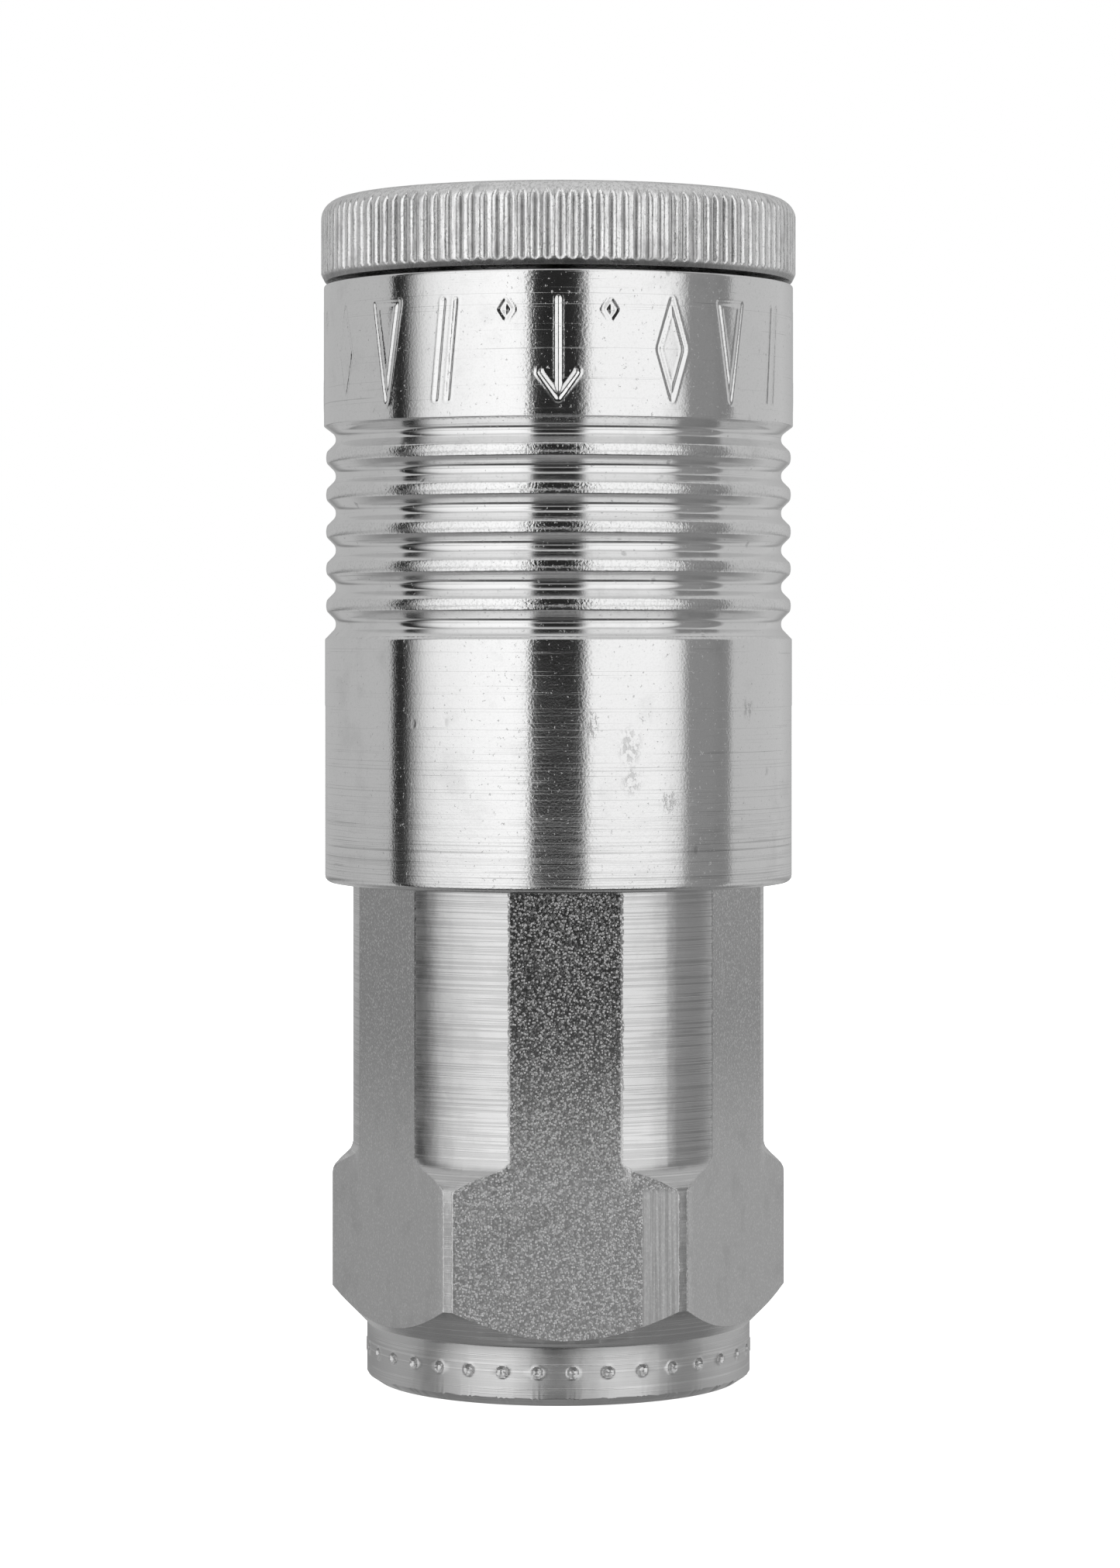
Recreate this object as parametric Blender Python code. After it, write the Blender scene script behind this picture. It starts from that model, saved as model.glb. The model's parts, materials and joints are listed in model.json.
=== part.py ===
"""Quick disconnect coupler with a ball lock and a single shut-off valve.

A hexagonal body with a female pipe port carries a screwed-in socket tube.  Eight balls in the
tube grip the plug, held inwards by a spring-loaded sleeve that slides back to let them out.
A knurled nose ring on the end of the tube is the sleeve's forward stop.  Inside, a sprung
poppet closes the passage until the plug pushes it off its seat.

The frame has +Z up along the coupler's axis, from the port face at z = 0 to the mouth.  The
body's hexagon has one flat facing -Y.  Dimensions are in millimetres, and MM turns them into
metres where the meshes are made.
"""
import math

import bmesh
import bpy
from mathutils import Matrix, Vector

MM = 0.001
GAP = 0.3                       # between pieces that rest on each other
SMALL_GAP = 0.15                # between a seal or a snap ring and its groove
SEGMENTS = 36                   # round the turned pieces
SMALL_SEGMENTS = 24             # round the valve and its guide

# Hexagonal body
HEX_FLATS = 26.99               # across flats, 1 1/16 inch bar
HEX_CORNER_R = 15.37            # corners turned down to this radius
HEX_TOP = 13.93                 # where the corners start to round off upwards
HEX_TOP_ROUND = 0.9
COLLAR_R = 13.02
COLLAR_TOP = 3.95
COLLAR_EDGE = (0.75, 0.55)      # radial, axial
SHANK_R = 13.97
SHANK_START = 16.05
BODY_TOP = 43.55
BODY_TOP_CHAMFER = 0.4
CHAMBER_R = 10.2
CHAMBER_FLOOR = 17.55
LEDGE_R = 8.6                   # passage under the valve guide

# Female pipe port, at the thread's mean radius
PORT_R = 9.95
PORT_DEPTH = 14.05
PORT_TAPER = 1 / 32             # change of radius along the depth, 1:16 on diameter
PORT_CHAMFER = 0.95

# Threaded joint between body and socket tube
THREAD_BORE_R = 12.5
THREAD_BORE_FLOOR = 36.55
THREAD_R = THREAD_BORE_R - GAP
O_RING_R = 11.6
O_RING_SECTION = 0.6
O_RING_Z = 38.7

# Socket tube
TUBE_R = 12.0
TUBE_TOP = 79.65
BORE_R = 8.6                    # takes the plug's nose
BORE_FLOOR = 54.55
MOUTH_CHAMFER = 1.1
PASSAGE_R = 6.3
SEAT_Z = 49.55
SEAT_CHAMBER_R = 9.4
NOSE_SEAT_R = 11.4              # the nose ring sits on this smaller end
NOSE_SEAT_Z = 74.1

# Plug seal and its back-up ring, in one groove of the bore
SEAL_GROOVE_FLOOR = 56.85
SEAL_GROOVE_TOP = 60.45
SEAL_GROOVE_R = 10.5
SEAL_R = 9.2
SEAL_SECTION = 1.05
BACKUP_RING_IN = 8.75
BACKUP_RING_THICK = 0.9

# Locking balls, 3/16 inch
BALL_COUNT = 8
BALL_R = 2.38
BALL_Z = 66.05
BALL_PITCH_R = 9.68             # centre radius with the lock closed
BALL_FIRST_ANGLE = 22.5
BALL_HOLE_R = 2.6
BALL_LIP_R = 2.35               # the hole narrows to this, so a ball can't fall into the bore

# Sleeve
SLEEVE_BOTTOM = 33.7
SLEEVE_TOP = 74.15
SLEEVE_R = 15.88
SLEEVE_BAND_R = 15.95           # marked band at the mouth end
SLEEVE_BORE_R = 14.25
SLEEVE_LOWER_EDGE = 0.4
SLEEVE_UPPER_EDGE = 0.15
GRIP_BOTTOM = 50.15
GRIP_TOP = 64.6
GRIP_GROOVES = 6
GRIP_FIRST_GROOVE = 51.17       # height of the lowest groove's middle
GRIP_PITCH = 2.512
GRIP_FLOOR_R = 15.15
GRIP_CREST_R = 15.83
GRIP_FLOOR_HALF = 0.27          # half widths of a groove at its floor and at its crests
GRIP_CREST_HALF = 0.98
SHOULDER_Z = 61.55              # the spring's washer pushes up here
LAND_R = 12.3                   # holds the balls in
LAND_TOP = 65.65
RECESS_R = 13.9                 # gives the balls room to move out
RAMP_ANGLE = 30.0

# Nose ring and its snap ring
NOSE_R = 16.15
NOSE_TOP = 79.95
NOSE_BOTTOM = NOSE_SEAT_Z + GAP
NOSE_BORE_R = NOSE_SEAT_R + 0.25
NOSE_UPPER_EDGE = 1.35
NOSE_LOWER_CHAMFER = (0.27, 0.55)  # radial, axial
SNAP_FLOOR = 77.6               # counterbore in the nose ring
SNAP_BORE_R = 12.6
SNAP_GROOVE_R = 10.8
SNAP_GROOVE_BOTTOM = 77.75
SNAP_GROOVE_TOP = 78.8
SNAP_IN = 11.0
SNAP_OUT = 12.3
SNAP_BOTTOM = 77.9
SNAP_THICK = 0.7
SNAP_OPENING = 24.0             # degrees between the snap ring's ends

# Sleeve spring and washer
SLEEVE_SPRING_R = 13.05
SLEEVE_SPRING_WIRE = 0.8        # wire radius
SLEEVE_SPRING_TURNS = 6
WASHER_IN = 12.25
WASHER_OUT = 13.95
WASHER_THICK = 0.6
WASHER_TOP = SHOULDER_Z - GAP

# Valve
STEM_R = 1.6
STEM_BOTTOM = 16.55
BOSS_R = 5.2                    # centres the valve spring
BOSS_BOTTOM = 45.35
FLANGE_R = 8.2
FLANGE_BOTTOM = 46.75
FLANGE_TOP = 48.15
NOSE_TUBE_R = 5.8
NOSE_TUBE_BORE_R = 4.3
NOSE_TUBE_TOP = 59.55
NOSE_TUBE_FLOOR = 49.75
SLOT_COUNT = 4
SLOT_WIDTH = 3.4
SLOT_BOTTOM = 50.15
SLOT_TOP = 54.15
VALVE_SEAL_IN = 6.0
VALVE_SEAL_OUT = 7.9
VALVE_SPRING_R = 6.3
VALVE_SPRING_WIRE = 0.55
VALVE_SPRING_TURNS = 8
GUIDE_R = 9.9
GUIDE_THICK = 2.0
GUIDE_HUB_R = 3.4
GUIDE_BORE_R = 1.95
GUIDE_RIM_R = 8.7
GUIDE_ARMS = 3
GUIDE_ARM_ANGLE = 30.0


# ---------------------------------------------------------------- helpers

def clear_scene():
    for old in list(bpy.data.objects):
        bpy.data.objects.remove(old, do_unlink=True)


def metal(name, color, roughness):
    return surface(name, color, roughness, 1.0)


def surface(name, color, roughness, metallic):
    made = bpy.data.materials.new(name)
    made.use_nodes = True
    shader = made.node_tree.nodes["Principled BSDF"]
    shader.inputs["Base Color"].default_value = (*color, 1.0)
    shader.inputs["Roughness"].default_value = roughness
    shader.inputs["Metallic"].default_value = metallic
    made.diffuse_color = (*color, 1.0)
    return made


def place(name, data, material=None, parent=None, location=(0, 0, 0)):
    """Put a mesh or a curve in the scene; location is in millimetres."""
    made = bpy.data.objects.new(name, data)
    made.location = Vector(location) * MM
    made.parent = parent
    if material and not data.materials:
        data.materials.append(material)
    bpy.context.scene.collection.objects.link(made)
    return made


def shaded(mesh):
    mesh.shade_smooth()
    mesh.set_sharp_from_angle(angle=math.radians(30))
    return mesh


def finished(bm, name):
    """Turn a bmesh into a mesh with its faces pointing out."""
    bmesh.ops.recalc_face_normals(bm, faces=bm.faces)
    mesh = bpy.data.meshes.new(name)
    bm.to_mesh(mesh)
    bm.free()
    return shaded(mesh)


def turned(name, outline, segments=SEGMENTS):
    """Spin an outline of (radius, height) points round Z.

    An outline that starts and ends on the axis stays open there; any other one is closed.
    """
    bm = bmesh.new()
    verts = [bm.verts.new((radius * MM, 0, height * MM)) for radius, height in outline]
    edges = [bm.edges.new(pair) for pair in zip(verts, verts[1:])]
    if outline[0][0] > 0:
        edges.append(bm.edges.new((verts[-1], verts[0])))
    bmesh.ops.spin(
        bm, geom=verts + edges, cent=(0, 0, 0), axis=(0, 0, 1),
        angle=math.tau, steps=segments, use_merge=True,
    )
    bmesh.ops.remove_doubles(bm, verts=bm.verts, dist=1e-7)
    return finished(bm, name)


def extruded(name, outlines, levels):
    """Extrude closed (x, y) outlines through a list of heights, each as a body of its own."""
    bm = bmesh.new()
    for outline in outlines:
        face = bm.faces.new([bm.verts.new((x * MM, y * MM, levels[0] * MM)) for x, y in outline])
        for low, high in zip(levels, levels[1:]):
            grown = bmesh.ops.extrude_face_region(bm, geom=[face])["geom"]
            moved = [item for item in grown if isinstance(item, bmesh.types.BMVert)]
            bmesh.ops.translate(bm, verts=moved, vec=(0, 0, (high - low) * MM))
            if low != levels[0]:
                bmesh.ops.delete(bm, geom=[face], context="FACES_ONLY")
            face = next(item for item in grown if isinstance(item, bmesh.types.BMFace))
    return finished(bm, name)


def polar(radius, degrees):
    return (radius * math.cos(math.radians(degrees)), radius * math.sin(math.radians(degrees)))


def arc(center, radius, start, end, steps):
    """Points along an arc, both ends included; angles in degrees from the outline's +X."""
    points = []
    for step in range(steps + 1):
        x, y = polar(radius, start + (end - start) * step / steps)
        points.append((center[0] + x, center[1] + y))
    return points


def ring_sector(inner, outer, start, end, steps):
    """Closed outline of a part of a flat ring."""
    return arc((0, 0), outer, start, end, steps) + arc((0, 0), inner, end, start, steps)


def washer(inner, outer, bottom, thick):
    """Outline of a plain flat ring."""
    return [(inner, bottom), (outer, bottom), (outer, bottom + thick), (inner, bottom + thick)]


def round_section(radius, height, section, steps):
    """Outline of an O-ring."""
    return arc((radius, height), section, 0, 360 - 360 / steps, steps - 1)


def cut(target, cutter, operation="DIFFERENCE"):
    cutter.hide_render = True
    cutter.display_type = "WIRE"
    change = target.modifiers.new(cutter.name, "BOOLEAN")
    change.operation = operation
    change.solver = "EXACT"
    change.object = cutter


def coil(name, radius, wire, bottom, top, turns, steps_per_turn):
    """A compression spring whose first and last turns lie closed against the ones next to them.

    Bottom and top are the heights between which the wire lies.
    """
    low = bottom + wire
    high = top - wire
    closed = 2 * wire * 1.04
    open_pitch = (high - low - 2 * closed) / (turns - 2)
    steps = turns * steps_per_turn
    curve = bpy.data.curves.new(name, "CURVE")
    curve.dimensions = "3D"
    curve.bevel_depth = wire * MM
    curve.bevel_resolution = 1
    curve.use_fill_caps = True
    spline = curve.splines.new("POLY")
    spline.points.add(steps)
    for step, point in enumerate(spline.points):
        turn = step / steps_per_turn
        rise = closed * (min(turn, 1) + max(turn - turns + 1, 0))
        rise += open_pitch * min(max(turn - 1, 0), turns - 2)
        x, y = polar(radius, 360 * turn)
        point.co = (x * MM, y * MM, (low + rise) * MM, 1)
    return curve


# ---------------------------------------------------------------- root pieces

def hex_body(material, parent):
    """Body with its port, collar, hexagon and shank, turned and then cut to the hexagon bar."""
    port_floor_r = PORT_R - PORT_DEPTH * PORT_TAPER
    chamfer_top = COLLAR_TOP + HEX_CORNER_R - COLLAR_R
    edge_radial, edge_axial = COLLAR_EDGE
    outline = [(PORT_R + PORT_CHAMFER, 0), (COLLAR_R - edge_radial, 0), (COLLAR_R, edge_axial)]
    outline += [(COLLAR_R, COLLAR_TOP), (HEX_CORNER_R, chamfer_top)]
    outline += arc((HEX_CORNER_R - HEX_TOP_ROUND, HEX_TOP), HEX_TOP_ROUND, 0, 45, 2)
    outline += [(SHANK_R + 0.25, SHANK_START - 0.55), (SHANK_R, SHANK_START)]
    outline += [(SHANK_R, BODY_TOP - BODY_TOP_CHAMFER), (SHANK_R - BODY_TOP_CHAMFER, BODY_TOP)]
    outline += [(THREAD_BORE_R, BODY_TOP), (THREAD_BORE_R, THREAD_BORE_FLOOR)]
    outline += [(CHAMBER_R, THREAD_BORE_FLOOR), (CHAMBER_R, CHAMBER_FLOOR)]
    outline += [(LEDGE_R, CHAMBER_FLOOR), (LEDGE_R, PORT_DEPTH), (port_floor_r, PORT_DEPTH)]
    outline += [(PORT_R, PORT_CHAMFER)]
    made = place("hex_body", turned("hex_body", outline), material, parent)

    corner = HEX_FLATS / 2 / math.cos(math.radians(30))
    hexagon = [polar(corner, 60 * side) for side in range(6)]
    bar = extruded("hex_bar", [hexagon], [-1, SHANK_START, BODY_TOP + 1])
    cut(made, place("hex_bar_cutter", bar, None, parent), "INTERSECT")


def socket_tube(material, parent):
    """Tube that takes the plug: thread, ball holes, seal groove, valve seat and nose seat."""
    groove_half = O_RING_SECTION + SMALL_GAP * 3
    groove_floor = O_RING_R - O_RING_SECTION - SMALL_GAP
    foot = THREAD_BORE_FLOOR + GAP
    outline = [(SEAT_CHAMBER_R, foot), (THREAD_R, foot)]
    outline += [(THREAD_R, O_RING_Z - groove_half), (groove_floor, O_RING_Z - groove_half)]
    outline += [(groove_floor, O_RING_Z + groove_half), (THREAD_R, O_RING_Z + groove_half)]
    outline += [(THREAD_R, BODY_TOP - GAP), (TUBE_R, BODY_TOP + GAP)]
    outline += [(TUBE_R, NOSE_SEAT_Z), (NOSE_SEAT_R, NOSE_SEAT_Z)]
    outline += [(NOSE_SEAT_R, SNAP_GROOVE_BOTTOM), (SNAP_GROOVE_R, SNAP_GROOVE_BOTTOM)]
    outline += [(SNAP_GROOVE_R, SNAP_GROOVE_TOP), (NOSE_SEAT_R, SNAP_GROOVE_TOP)]
    outline += [(NOSE_SEAT_R, TUBE_TOP - 0.2), (NOSE_SEAT_R - 0.2, TUBE_TOP)]
    outline += [(BORE_R + MOUTH_CHAMFER, TUBE_TOP), (BORE_R, TUBE_TOP - MOUTH_CHAMFER)]
    outline += [(BORE_R, SEAL_GROOVE_TOP), (SEAL_GROOVE_R, SEAL_GROOVE_TOP)]
    outline += [(SEAL_GROOVE_R, SEAL_GROOVE_FLOOR), (BORE_R, SEAL_GROOVE_FLOOR)]
    outline += [(BORE_R, BORE_FLOOR), (PASSAGE_R, BORE_FLOOR)]
    outline += [(PASSAGE_R, SEAT_Z), (SEAT_CHAMBER_R, SEAT_Z)]
    made = place("socket_tube", turned("socket_tube", outline), material, parent)
    cut(made, place("ball_hole_cutter", ball_holes(), None, parent))


def ball_holes():
    """One stepped and tapered drill per ball, each lying along its own radius."""
    lip_end = BALL_PITCH_R - 0.8
    drill = [
        (0, BORE_R - 1.6), (BALL_LIP_R, BORE_R - 1.6), (BALL_LIP_R, lip_end),
        (BALL_HOLE_R, lip_end + 0.5), (BALL_HOLE_R, TUBE_R + 1), (0, TUBE_R + 1),
    ]
    tool = turned("ball_drill", drill, 16)
    bm = bmesh.new()
    for angle in ball_angles():
        before = len(bm.verts)
        bm.from_mesh(tool)
        bm.verts.ensure_lookup_table()
        turn = Matrix.Rotation(math.radians(angle), 4, "Z") @ Matrix.Rotation(math.pi / 2, 4, "Y")
        lift = Matrix.Translation((0, 0, BALL_Z * MM))
        bmesh.ops.transform(bm, matrix=lift @ turn, verts=bm.verts[before:])
    bpy.data.meshes.remove(tool)
    return finished(bm, "ball_holes")


def ball_angles():
    return [BALL_FIRST_ANGLE + 360 * number / BALL_COUNT for number in range(BALL_COUNT)]


def nose_ring(material, parent):
    radial, axial = NOSE_LOWER_CHAMFER
    outline = [(NOSE_BORE_R, NOSE_BOTTOM), (NOSE_R - radial, NOSE_BOTTOM)]
    outline += [(NOSE_R, NOSE_BOTTOM + axial)]
    edge = (NOSE_R - NOSE_UPPER_EDGE, NOSE_TOP - NOSE_UPPER_EDGE)
    outline += arc(edge, NOSE_UPPER_EDGE, 0, 90, 3)
    outline += [(SNAP_BORE_R + 0.3, NOSE_TOP), (SNAP_BORE_R, NOSE_TOP - 0.3)]
    outline += [(SNAP_BORE_R, SNAP_FLOOR), (NOSE_BORE_R, SNAP_FLOOR)]
    place("nose_ring", turned("nose_ring", outline), material, parent)


def nose_snap_ring(material, parent):
    half = SNAP_OPENING / 2
    outline = ring_sector(SNAP_IN, SNAP_OUT, 90 + half, 450 - half, 32)
    mesh = extruded("nose_snap_ring", [outline], [SNAP_BOTTOM, SNAP_BOTTOM + SNAP_THICK])
    place("nose_snap_ring", mesh, material, parent)


def root_seals(rubber, plastic, parent):
    """O-ring of the threaded joint, plug seal, and the back-up ring beside the plug seal."""
    joint = round_section(O_RING_R, O_RING_Z, O_RING_SECTION, 6)
    place("body_o_ring", turned("body_o_ring", joint), rubber, parent)
    seal_z = SEAL_GROOVE_FLOOR + SMALL_GAP + SEAL_SECTION
    seal = round_section(SEAL_R, seal_z, SEAL_SECTION, 8)
    place("plug_seal", turned("plug_seal", seal), rubber, parent)
    backup_bottom = SEAL_GROOVE_TOP - SMALL_GAP - BACKUP_RING_THICK
    backup = washer(BACKUP_RING_IN, SEAL_GROOVE_R - SMALL_GAP, backup_bottom, BACKUP_RING_THICK)
    place("plug_seal_backup_ring", turned("plug_seal_backup_ring", backup), plastic, parent)


def valve_guide(material, parent):
    """Disc with three windows that leave a rim, three arms and a bored hub for the stem."""
    bottom = CHAMBER_FLOOR + GAP
    disc = turned("valve_guide", washer(GUIDE_BORE_R, GUIDE_R, bottom, GUIDE_THICK), SMALL_SEGMENTS)
    made = place("valve_guide", disc, material, parent)
    pitch = 360 / GUIDE_ARMS
    windows = []
    for arm in range(GUIDE_ARMS):
        start = pitch * arm + GUIDE_ARM_ANGLE / 2
        windows.append(ring_sector(GUIDE_HUB_R, GUIDE_RIM_R, start, start + pitch - GUIDE_ARM_ANGLE, 6))
    cutter = extruded("guide_windows", windows, [bottom - 1, bottom + GUIDE_THICK + 1])
    cut(made, place("guide_window_cutter", cutter, None, parent))


# ---------------------------------------------------------------- sleeve and lock

def locking_sleeve(material, parent):
    """Sleeve with its grip grooves outside and its land, ramp and ball recess inside."""
    outline = [(SLEEVE_BORE_R, SLEEVE_BOTTOM), (SLEEVE_R - SLEEVE_LOWER_EDGE, SLEEVE_BOTTOM)]
    outline += [(SLEEVE_R, SLEEVE_BOTTOM + SLEEVE_LOWER_EDGE), (SLEEVE_R, GRIP_BOTTOM)]
    for groove in range(GRIP_GROOVES):
        middle = GRIP_FIRST_GROOVE + GRIP_PITCH * groove
        if groove > 0:
            outline += [(GRIP_CREST_R, middle - GRIP_CREST_HALF)]
        outline += [(GRIP_FLOOR_R, middle - GRIP_FLOOR_HALF)]
        outline += [(GRIP_FLOOR_R, middle + GRIP_FLOOR_HALF)]
        if groove < GRIP_GROOVES - 1:
            outline += [(GRIP_CREST_R, middle + GRIP_CREST_HALF)]
    outline += [(SLEEVE_BAND_R, GRIP_TOP), (SLEEVE_BAND_R, SLEEVE_TOP - SLEEVE_UPPER_EDGE)]
    outline += [(SLEEVE_BAND_R - SLEEVE_UPPER_EDGE, SLEEVE_TOP), (RECESS_R, SLEEVE_TOP)]
    ramp_rise = (RECESS_R - LAND_R) / math.tan(math.radians(RAMP_ANGLE))
    outline += [(RECESS_R, LAND_TOP + ramp_rise), (LAND_R, LAND_TOP)]
    outline += [(LAND_R, SHOULDER_Z), (SLEEVE_BORE_R, SHOULDER_Z)]
    place("locking_sleeve", turned("locking_sleeve", outline), material, parent)


def sleeve_spring_and_washer(material, parent):
    washer_bottom = WASHER_TOP - WASHER_THICK
    ring = washer(WASHER_IN, WASHER_OUT, washer_bottom, WASHER_THICK)
    place("sleeve_spring_washer", turned("sleeve_spring_washer", ring), material, parent)
    spring = coil(
        "sleeve_spring", SLEEVE_SPRING_R, SLEEVE_SPRING_WIRE,
        BODY_TOP + GAP, washer_bottom - GAP, SLEEVE_SPRING_TURNS, 20,
    )
    place("sleeve_spring", spring, material, parent)


def locking_balls(material, parent):
    """Balls on their own origins, each of which moves out along its own radius."""
    bm = bmesh.new()
    bmesh.ops.create_uvsphere(bm, u_segments=12, v_segments=8, radius=BALL_R * MM)
    mesh = finished(bm, "locking_ball")
    for number, angle in enumerate(ball_angles(), start=1):
        location = (*polar(BALL_PITCH_R, angle), BALL_Z)
        made = place(f"locking_ball_{number}", mesh, material, parent, location)
        made.rotation_euler.z = math.radians(angle)


# ---------------------------------------------------------------- valve

def valve_poppet(material, parent):
    """Poppet with its guide stem, flange, and a nose tube with flow slots above the flange."""
    outline = [(0, STEM_BOTTOM), (STEM_R - 0.3, STEM_BOTTOM), (STEM_R, STEM_BOTTOM + 0.5)]
    outline += [(STEM_R, BOSS_BOTTOM - 1), (BOSS_R, BOSS_BOTTOM), (BOSS_R, FLANGE_BOTTOM)]
    outline += [(FLANGE_R, FLANGE_BOTTOM), (FLANGE_R, FLANGE_TOP), (NOSE_TUBE_R, FLANGE_TOP)]
    outline += [(NOSE_TUBE_R, NOSE_TUBE_TOP - 0.4), (NOSE_TUBE_R - 0.4, NOSE_TUBE_TOP)]
    outline += [(NOSE_TUBE_BORE_R, NOSE_TUBE_TOP), (NOSE_TUBE_BORE_R, NOSE_TUBE_FLOOR)]
    outline += [(0, NOSE_TUBE_FLOOR)]
    body = turned("valve_poppet", outline, SMALL_SEGMENTS)
    made = place("valve_poppet", body, material, parent)
    slots = []
    for slot in range(SLOT_COUNT):
        turn = Matrix.Rotation(math.radians(360 * slot / SLOT_COUNT), 2)
        corners = [(x, y) for x, y in (
            (NOSE_TUBE_BORE_R - 1.2, -SLOT_WIDTH / 2), (NOSE_TUBE_R + 1, -SLOT_WIDTH / 2),
            (NOSE_TUBE_R + 1, SLOT_WIDTH / 2), (NOSE_TUBE_BORE_R - 1.2, SLOT_WIDTH / 2),
        )]
        slots.append([tuple(turn @ Vector(corner)) for corner in corners])
    cutter = extruded("flow_slots", slots, [SLOT_BOTTOM, SLOT_TOP])
    cut(made, place("flow_slot_cutter", cutter, None, parent))


def valve_seal(material, parent):
    bottom = FLANGE_TOP + SMALL_GAP
    thick = SEAT_Z - SMALL_GAP - bottom
    ring = washer(VALVE_SEAL_IN, VALVE_SEAL_OUT, bottom, thick)
    place("valve_seal", turned("valve_seal", ring, SMALL_SEGMENTS), material, parent)


def valve_spring(material, parent):
    bottom = CHAMBER_FLOOR + GAP + GUIDE_THICK + GAP
    spring = coil(
        "valve_spring", VALVE_SPRING_R, VALVE_SPRING_WIRE,
        bottom, FLANGE_BOTTOM - GAP, VALVE_SPRING_TURNS, 16,
    )
    place("valve_spring", spring, material, parent)


def build():
    clear_scene()
    plated = metal("plated_steel", (0.62, 0.62, 0.61), 0.28)
    spring_steel = metal("spring_steel", (0.42, 0.42, 0.43), 0.35)
    ball_steel = metal("ball_steel", (0.72, 0.72, 0.73), 0.08)
    brass = metal("brass", (0.72, 0.53, 0.24), 0.3)
    rubber = surface("seal_rubber", (0.02, 0.02, 0.022), 0.6, 0.0)
    plastic = surface("backup_plastic", (0.85, 0.84, 0.80), 0.5, 0.0)

    coupler = place("coupler", None)
    hex_body(plated, coupler)
    socket_tube(plated, coupler)
    nose_ring(plated, coupler)
    nose_snap_ring(spring_steel, coupler)
    root_seals(rubber, plastic, coupler)
    valve_guide(brass, coupler)

    sleeve_carrier = place("sleeve_carrier", None, None, coupler)
    locking_sleeve(plated, sleeve_carrier)
    sleeve_spring_and_washer(spring_steel, sleeve_carrier)
    locking_balls(ball_steel, coupler)

    valve = place("valve", None, None, coupler)
    valve_poppet(brass, valve)
    valve_seal(rubber, valve)
    valve_spring(spring_steel, valve)


build()
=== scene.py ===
"""Looks of a zinc-plated quick disconnect coupler: fine pieces, materials, studio and camera.

Lengths and heights are in millimetres until a mesh is made, where MM turns them into metres.
Angles are in degrees, counted round Z from +X.  The coupler stands on its port face at z = 0.
"""
import json
import math

import bmesh
import bpy
import numpy as np
from mathutils import Matrix, Vector


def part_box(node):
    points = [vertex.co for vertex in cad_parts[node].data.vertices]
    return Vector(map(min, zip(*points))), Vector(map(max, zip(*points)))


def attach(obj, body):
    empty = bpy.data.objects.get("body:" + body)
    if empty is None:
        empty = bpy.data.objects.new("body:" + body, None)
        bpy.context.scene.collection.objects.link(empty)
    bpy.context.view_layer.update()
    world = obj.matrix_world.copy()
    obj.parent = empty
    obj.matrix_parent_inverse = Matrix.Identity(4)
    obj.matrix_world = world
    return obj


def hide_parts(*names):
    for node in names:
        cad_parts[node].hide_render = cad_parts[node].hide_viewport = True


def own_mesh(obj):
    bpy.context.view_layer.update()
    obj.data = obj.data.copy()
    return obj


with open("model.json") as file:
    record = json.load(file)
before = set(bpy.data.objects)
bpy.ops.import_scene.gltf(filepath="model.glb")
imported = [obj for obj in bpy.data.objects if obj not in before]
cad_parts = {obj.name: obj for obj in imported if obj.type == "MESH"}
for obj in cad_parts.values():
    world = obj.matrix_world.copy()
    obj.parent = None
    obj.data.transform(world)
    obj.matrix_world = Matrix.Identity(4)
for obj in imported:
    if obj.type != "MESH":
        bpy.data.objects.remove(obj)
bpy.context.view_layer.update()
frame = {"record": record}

MM = 0.001


def span(node):
    """Largest radius, lowest height and highest height of a CAD node round the axis."""
    low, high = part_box(node)
    return high[0] / MM, low[2] / MM, high[2] / MM


# Sizes read from the frame
NOSE_R, NOSE_BOTTOM, NOSE_TOP = span("nose_ring")
BAND_R, SLEEVE_BOTTOM, SLEEVE_TOP = span("locking_sleeve")
HEX_CORNER_R, _, BODY_TOP = span("hex_body")
HEX_FLATS = 2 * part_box("hex_body")[1][1] / MM
TUBE_THREAD_R, TUBE_BOTTOM, TUBE_TOP = span("socket_tube")
FLANGE_R, STEM_BOTTOM, VALVE_TOP = span("valve_poppet")

# Direction of the main view, which the marks, scuffs and dimples are laid out from
VIEW_AZIMUTH = -2.0
FRONT = VIEW_AZIMUTH - 90

# Hexagon body
COLLAR_R = 13.02
COLLAR_TOP = 3.95
COLLAR_CHAMFER = (0.75, 0.55)    # across the end face, up the wall
HEX_TOP = 13.93
HEX_TOP_ROUND = 0.9
SHADED_GROUND = 27.0               # above this the painted shade on the front and back flats is at its darkest
SHANK_R = 13.97
SHANK_START = 16.05
CHAMBER_R = 10.2
CHAMBER_FLOOR = 17.55
LEDGE_R = 8.6
THREAD_BORE_R = 12.5
THREAD_BORE_FLOOR = 36.55
PORT_R = 9.95
PORT_DEPTH = 14.05
PORT_TAPER = 1 / 32
PORT_MOUTH_R = 10.9
PIPE_PITCH = 25.4 / 14
PIPE_THREAD_HALF = 0.62          # half of the pipe thread's height
DIMPLES = 35
DIMPLE_Z = 2.28
DIMPLE_R = 0.34
DIMPLE_DEPTH = 0.2
FIRST_DIMPLE = FRONT - 6.1

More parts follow.
